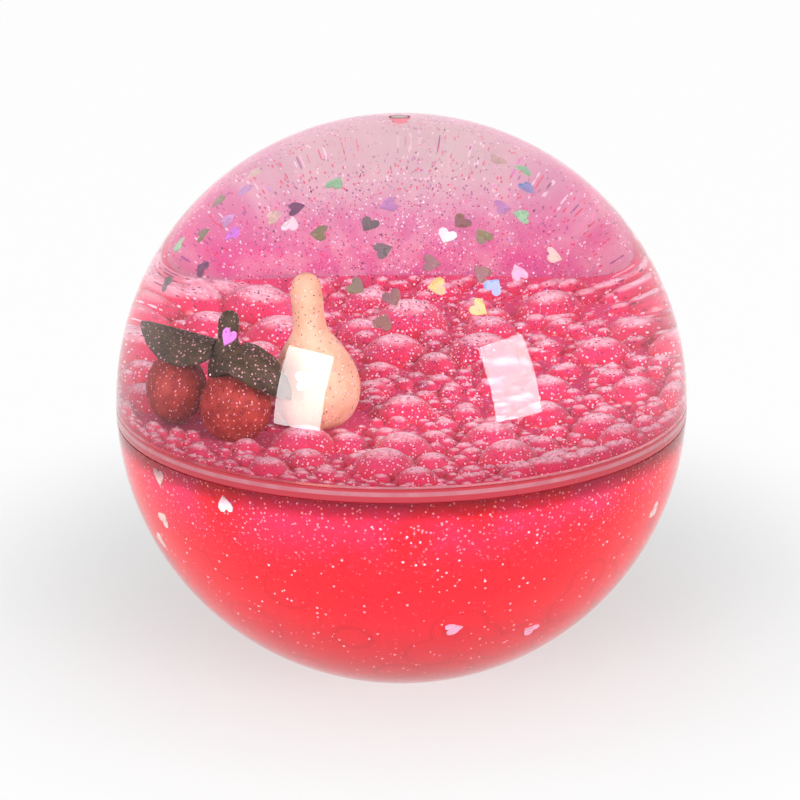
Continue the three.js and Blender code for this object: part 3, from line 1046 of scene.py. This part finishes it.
    def placed(
        self, tree: Recipe, points: Socket, radius: Socket, distance: Socket, angle: Socket, detail: int
    ) -> Socket:
        """Stands a round droplet on each point, clear of the floats.

        Args:
            tree: the tree to add to.
            points: the geometry with the points.
            radius: each droplet's radius.
            distance: its distance from the upright axis.
            angle: its angle about that axis.
            detail: how finely the droplet is cut.

        Returns:
            The droplets as real mesh.
        """
        inputs = {"Geometry": points, "Name": "reach", "Value": radius}
        kept = tree.out("GeometryNodeStoreNamedAttribute", inputs)
        x = tree.math("MULTIPLY", distance, tree.math("COSINE", angle))
        y = tree.math("MULTIPLY", distance, tree.math("SINE", angle))
        z = tree.math("MULTIPLY_ADD", radius, -self.sunk_share, tree.given["Level"])
        spot = tree.out("ShaderNodeCombineXYZ", {"X": x, "Y": y, "Z": z})
        moved = tree.out("GeometryNodeSetPosition", {"Geometry": kept, "Position": spot})
        reach = tree.out("GeometryNodeInputNamedAttribute", {"Name": "reach"}, "Attribute", data_type="FLOAT")
        flat = tree.vector("MULTIPLY", tree.out("GeometryNodeInputPosition"), (1, 1, 0))
        for centre, column in self.columns():
            away = tree.out("ShaderNodeVectorMath", {0: flat, 1: centre}, "Value", operation="DISTANCE")
            least = tree.math("MULTIPLY_ADD", reach, self.overlap, column)
            moved = tree.without(moved, tree.math("LESS_THAN", away, least))
        ball = tree.out("GeometryNodeMeshIcoSphere", {"Radius": 1.0, "Subdivisions": detail})
        ball = tree.out("GeometryNodeSetShadeSmooth", {"Geometry": ball})
        inputs = {"Points": moved, "Instance": ball, "Scale": reach}
        return tree.dressed(tree.out("GeometryNodeInstanceOnPoints", inputs))


@dataclass
class Glitter:
    """Fine flakes that drift in one of the liquids."""

    name: str
    body: Body
    slot: str
    finish: GlitterFinish
    per_area: float
    outer: float
    inner: float
    low: float
    high: float
    smallest: float = 0.05 * MM
    largest: float = 0.14 * MM
    seed: int = 3
    clear_of: tuple[str, ...] = ()
    rise: float = 8.0 * MM

    def build(self) -> None:
        """Makes the flakes as one piece and fixes it to its layer."""
        piece = new_piece(self.name, bpy.data.meshes.new(self.name))
        self.cloud().run(piece)
        hand_over(piece, self.body, self.slot)

    def cloud(self) -> Recipe:
        """Scatters hexagonal flakes between two spheres and two heights.

        Returns:
            The tree.
        """
        tree = Recipe(self.name, {
            "Per Area": self.per_area,
            "Outer": self.outer,
            "Inner": self.inner,
            "Low": self.low,
            "High": self.high,
            "Smallest": self.smallest,
            "Largest": self.largest,
            "Seed": self.seed,
            "Finish": self.finish.make(),
        })
        given = tree.given
        sphere = tree.out("GeometryNodeMeshIcoSphere", {"Radius": 1.0, "Subdivisions": 5})
        inputs = {"Mesh": sphere, "Density": given["Per Area"], "Seed": given["Seed"]}
        points = tree.out("GeometryNodeDistributePointsOnFaces", inputs, distribute_method="RANDOM")
        reach = tree.random(given["Inner"], given["Outer"], given["Seed"])
        inputs = {0: tree.out("GeometryNodeInputPosition"), "Scale": reach}
        place = tree.out("ShaderNodeVectorMath", inputs, operation="SCALE")
        moved = tree.out("GeometryNodeSetPosition", {"Geometry": points, "Position": place})
        height = tree.height(tree.out("GeometryNodeInputPosition"))
        below = tree.math("LESS_THAN", height, given["Low"])
        above = tree.math("GREATER_THAN", height, given["High"])
        kept = tree.without(moved, tree.math("MAXIMUM", below, above))
        for node in self.clear_of:
            kept = self.cleared(tree, kept, node)
        flake = tree.out("GeometryNodeMeshCircle", {"Vertices": 6, "Radius": 1.0}, fill_type="NGON")
        turn_seed, size_seed, tone_seed = (tree.math("ADD", given["Seed"], step) for step in (1, 2, 4))
        turn = tree.random((0.0,) * 3, (FULL_TURN,) * 3, turn_seed, "FLOAT_VECTOR")
        size = tree.random(given["Smallest"], given["Largest"], size_seed)
        inputs = {"Points": kept, "Instance": flake, "Rotation": turn, "Scale": size}
        laid = tree.out("GeometryNodeInstanceOnPoints", inputs)
        inputs = {"Geometry": laid, "Name": "tone", "Value": tree.random(0.0, 1.0, tone_seed)}
        tree.finish(tree.dressed(tree.out("GeometryNodeStoreNamedAttribute", inputs, domain="INSTANCE")))
        return tree

    def cleared(self, tree: Recipe, points: Socket, node: str) -> Socket:
        """Takes away the flakes in a float's way as it rises.

        Args:
            tree: the tree to add to.
            points: the flakes' places.
            node: the float's node.

        Returns:
            The places that are left.
        """
        low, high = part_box(node)
        high = high + Vector((0.0, 0.0, self.rise))
        place = tree.out("GeometryNodeInputPosition")
        off = tree.vector("ABSOLUTE", tree.vector("SUBTRACT", place, (low + high) / 2))
        past = tree.vector("SUBTRACT", off, (high - low) / 2)
        axes = tree.add("ShaderNodeSeparateXYZ", {"Vector": past}).outputs
        most = tree.math("MAXIMUM", tree.math("MAXIMUM", axes["X"], axes["Y"]), axes["Z"])
        return tree.without(points, tree.math("LESS_THAN", most, 2 * self.largest))


@dataclass
class Hearts:
    """The foil hearts, which keep their own solids and get their foils."""

    effects: Effects

    def dress(self) -> None:
        """Gives each heart the foil that its name says."""
        foils = {foil.name.lower(): FoilFinish(self.effects, foil).make() for foil in Foil}
        hearts = [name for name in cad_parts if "heart_" in name]
        for name in hearts:
            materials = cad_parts[name].data.materials
            materials.clear()
            materials.append(foils[name.split("_")[-2]])
        log.info("%d hearts in foil", len(hearts))


@dataclass
class Fruit:
    """Float mouldings: smooth forms over the frame's solids."""

    effects: Effects
    voxel: float = 0.28 * MM
    rounds: int = 14
    weld: float = 0.001 * MM

    def build(self) -> None:
        """Makes the cherry float's five pieces and the pear."""
        cherry = PaintedFruit(
            self.effects, "cherry_skin", colour=(0.5, 0.055, 0.04), deeper=(0.36, 0.03, 0.025),
            bright=(0.9, 0.4, 0.42), dark=(0.16, 0.02, 0.03), share=0.6, fineness=2100.0,
        ).make()
        leaf = PaintedFruit(
            self.effects, "leaf_paint", colour=(0.09, 0.06, 0.028), deeper=(0.055, 0.04, 0.02),
            bright=(0.62, 0.34, 0.38), dark=(0.03, 0.02, 0.012), share=0.85, fineness=1900.0,
        ).make()
        pear = PaintedFruit(
            self.effects, "pear_skin", colour=(0.86, 0.57, 0.37), deeper=(0.8, 0.47, 0.3),
            bright=(0.95, 0.8, 0.7), dark=(0.3, 0.14, 0.12), share=0.3, fineness=2300.0,
        ).make()
        for node in ("cherry_left", "cherry_right"):
            self.rounded(node, Body.CHERRY_FLOAT, "cherry", cherry)
        for node in ("leaf_left", "leaf_right", "cherry_stalk"):
            self.rounded(node, Body.CHERRY_FLOAT, "leaf", leaf)
        self.rounded("pear", Body.PEAR_FLOAT, "pear", pear)

    def rounded(self, node: str, body: Body, slot: str, material: bpy.types.Material) -> None:
        """Makes a smooth moulding over one solid.

        Args:
            node: the solid's name.
            body: the body that it rides on.
            slot: the record's material slot.
            material: its finish.
        """
        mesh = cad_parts[node].data.copy()
        mesh.name = f"{node}_moulding"
        shape = bmesh.new()
        shape.from_mesh(mesh)
        bmesh.ops.remove_doubles(shape, verts=shape.verts, dist=self.weld)
        shape.to_mesh(mesh)
        shape.free()
        mesh.materials.clear()
        mesh.materials.append(material)
        piece = new_piece(f"{node}_moulding", mesh)
        remesh = piece.modifiers.new("fine", "REMESH")
        remesh.mode = "VOXEL"
        remesh.voxel_size = self.voxel
        remesh.use_smooth_shade = True
        smooth = piece.modifiers.new("ease", "SMOOTH")
        smooth.iterations = self.rounds
        settle(piece)
        hand_over(piece, body, slot, node)


def aimed(place: Vector) -> Matrix:
    """Gives the placing of something that stands at a place and faces the ball's centre."""
    return Matrix.Translation(place) @ (-place).to_track_quat("-Z", "Y").to_matrix().to_4x4()


def sheet(name: str, size: Stretch, place: Matrix, material: bpy.types.Material) -> bpy.types.Mesh:
    """Makes a flat sheet for the studio.

    Args:
        name: the mesh's name.
        size: its width and height.
        place: where it stands.
        material: its finish.

    Returns:
        The mesh, in the studio's own frame.
    """
    x, y = size[0] / 2, size[1] / 2
    mesh = bpy.data.meshes.new(name)
    mesh.from_pydata([(-x, -y, 0), (x, -y, 0), (x, y, 0), (-x, y, 0)], [], [(0, 1, 2, 3)])
    mesh.transform(place)
    mesh.materials.append(material)
    return mesh


@dataclass
class Studio:
    """Pale floor, soft lamps, white surround and the camera."""

    distance: float = 350 * MM
    elevation: float = 17.6
    roll: float = 0.4
    ball_radius: float = 50 * MM
    ball_pixels: float = 285.5
    image_pixels: float = 800.0
    centre_pixels: tuple[float, float] = (401.5, 398.0)
    fill: float = 0.28
    floor_width: float = 8.0
    floor_whitens: Stretch = (0.03, 0.12)
    floor_white: Stretch = (0.5, 0.98)
    boxes: tuple[tuple[str, float, float], ...] = (
        ("left_softbox", -39.0, 17.3),
        ("right_softbox", 44.3, 19.3),
    )
    box_away: float = 0.65
    cloth_gap: float = 2 * MM
    box_width: float = 0.213
    box_height: float = 0.314
    box_radiance: float = 8.2
    box_mirrored: float = 15.5

    def build(self) -> None:
        """Sets up the whole studio."""
        self.camera()
        self.surround()
        self.floor()
        for name, bearing, rise in self.boxes:
            self.softbox(name, bearing, rise)
        bpy.context.scene.view_settings.view_transform = "Standard"
        cycles = bpy.context.scene.cycles
        cycles.transparent_max_bounces = 24
        cycles.max_bounces = 10

    def camera(self) -> None:
        """Places the camera where the photograph was taken from."""
        rise = math.radians(self.elevation)
        place = Vector((0.0, -math.cos(rise), math.sin(rise))) * self.distance
        per_pixel = math.tan(math.asin(self.ball_radius / self.distance)) / self.ball_pixels
        data = bpy.data.cameras.new("camera")
        data.sensor_width = 36.0
        data.lens = data.sensor_width / (self.image_pixels * per_pixel)
        data.shift_x = (self.image_pixels / 2 - self.centre_pixels[0]) / self.image_pixels
        data.shift_y = (self.centre_pixels[1] - self.image_pixels / 2) / self.image_pixels
        data.clip_start = 0.01
        camera = bpy.data.objects.new("camera", data)
        camera.matrix_world = aimed(place) @ Matrix.Rotation(math.radians(-self.roll), 4, "Z")
        bpy.context.scene.collection.objects.link(camera)
        bpy.context.scene.camera = camera

    @staticmethod
    def seen(nodes: Nodes) -> Socket:
        """Adds a mask of the rays that see the surround: from the camera, by gloss or through the shell."""
        path = nodes.add("ShaderNodeLightPath").outputs
        gloss = nodes.math("MAXIMUM", path["Is Glossy Ray"], path["Is Transmission Ray"])
        return nodes.math("MAXIMUM", path["Is Camera Ray"], gloss)

    def surround(self) -> None:
        """Makes the world: white where it is seen, softer as light."""
        world = bpy.data.worlds.new("surround")
        world.use_nodes = True
        nodes = Nodes(world.node_tree)
        strength = nodes.math("MULTIPLY_ADD", self.seen(nodes), 1.0 - self.fill, self.fill)
        light = nodes.add("ShaderNodeBackground", {"Color": WHITE, "Strength": strength})
        nodes.add("ShaderNodeOutputWorld", {"Surface": light.outputs[0]})
        bpy.context.scene.world = world

    def floor(self) -> None:
        """Makes the pale floor, which whitens with distance and keeps the shadow near the ball."""
        level = -self.ball_radius
        paint = Paint("pale_floor")
        behind = (0.0, 0.9 * self.ball_radius, level)
        away = paint.out("ShaderNodeVectorMath", {0: paint.place, 1: behind}, "Value", operation="DISTANCE")
        white = paint.span(away, *self.floor_whitens, *self.floor_white)
        grain = paint.out("ShaderNodeTexNoise", {"Vector": paint.place, "Scale": 8.0})
        tone = paint.mix(paint.span(grain, 0.4, 0.6), (0.86, 0.89, 0.89), (0.88, 0.91, 0.91))
        plain = paint.add("ShaderNodeBsdfDiffuse", {"Color": tone})
        glow = paint.add("ShaderNodeEmission", {"Color": WHITE, "Strength": 1.0})
        material = paint.show(paint.blend(paint.math("MULTIPLY", white, self.seen(paint)), plain, glow))
        place = Matrix.Translation((0.0, 0.0, level))
        mesh = sheet("floor", (self.floor_width, self.floor_width), place, material)
        new_piece("floor", mesh)

    def softbox(self, name: str, bearing: float, rise: float) -> None:
        """Places a softbox that faces the ball.

        Args:
            name: the lamp's name.
            bearing: degrees to the right of the camera.
            rise: degrees above the ball.
        """
        data = bpy.data.lights.new(name, "AREA")
        data.shape = "RECTANGLE"
        data.size, data.size_y = self.box_width, self.box_height
        data.energy = self.box_radiance * math.pi * self.box_width * self.box_height
        side, up = math.radians(bearing), math.radians(rise)
        heading = Vector((math.sin(side) * math.cos(up), -math.cos(side) * math.cos(up), math.sin(up)))
        lamp = bpy.data.objects.new(name, data)
        lamp.matrix_world = aimed(heading * self.box_away)
        bpy.context.scene.collection.objects.link(lamp)
        self.cloth(f"{name}_cloth", aimed(heading * (self.box_away + self.cloth_gap)))

    def cloth(self, name: str, place: Matrix) -> None:
        """Hangs the softbox's cloth behind its lamp: it shows in reflections and lights nothing.

        Args:
            name: the cloth's name.
            place: where it hangs.
        """
        paint = Paint(name)
        glossy = paint.out("ShaderNodeLightPath", key="Is Glossy Ray")
        inputs = {"Color": WHITE, "Strength": paint.math("MULTIPLY", glossy, self.box_mirrored)}
        material = paint.show(paint.add("ShaderNodeEmission", inputs))
        material.cycles.emission_sampling = "NONE"
        mesh = sheet(name, (self.box_width, self.box_height), place, material)
        new_piece(name, mesh)


def clear_flakes(name: str, body: Body, inner: float, low: float, high: float, seed: int) -> Glitter:
    """Describes flakes in the clear liquid, clear of the floats if they turn with the red layer.

    Args:
        name: the piece's name.
        body: the layer that they turn with.
        inner: the least distance from the centre.
        low: the least height.
        high: the greatest height.
        seed: the scatter's seed.

    Returns:
        The flakes, not yet built.
    """
    tones = (
        (0.0, (0.12, 0.03, 0.1)),
        (0.18, (0.55, 0.12, 0.4)),
        (0.4, (0.85, 0.3, 0.55)),
        (0.62, (0.95, 0.55, 0.75)),
        (0.8, (1.0, 0.9, 0.95)),
        (0.94, (0.6, 0.45, 0.95)),
    )
    return Glitter(
        name, body, "foil_pink", GlitterFinish(f"{name}_flakes", tones), per_area=1300.0, outer=46.3 * MM,
        inner=inner, low=low, high=high, seed=seed, clear_of=FLOATS if body is Body.RED_LAYER else (),
    )


def red_flakes() -> Glitter:
    """Describes flakes against the lower wall."""
    tones = (
        (0.0, (0.75, 0.05, 0.2)),
        (0.3, (1.0, 0.3, 0.4)),
        (0.62, (1.0, 0.7, 0.75)),
        (0.85, (1.0, 0.95, 0.95)),
        (0.96, (0.7, 0.4, 0.9)),
    )
    return Glitter(
        "glitter_red", Body.RED_LAYER, "foil_silver", GlitterFinish("red_flakes", tones), per_area=420.0,
        outer=46.4 * MM, inner=46.05 * MM, low=-46.0 * MM, high=-0.8 * MM, seed=11,
    )


def main() -> None:
    """Builds and dresses the ball, piece by piece."""
    logging.basicConfig(level=logging.INFO, format="%(name)s %(message)s")
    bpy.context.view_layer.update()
    effects = Effects.make()
    wall = clear_flakes(
        "glitter_wall", Body.CLEAR_LAYER, inner=45.6 * MM, low=3.0 * MM, high=34.0 * MM, seed=21
    )
    drift = clear_flakes(
        "glitter_drift", Body.RED_LAYER, inner=10.0 * MM, low=2.5 * MM, high=40.0 * MM, seed=31
    )
    parts: Iterable[Callable[[], None]] = (
        Shell(effects).build,
        RedLayer(effects).build,
        Fruit(effects).build,
        Hearts(effects).dress,
        wall.build,
        drift.build,
        red_flakes().build,
        Studio().build,
    )
    for make in parts:
        make()


if __name__ == "__main__":
    main()
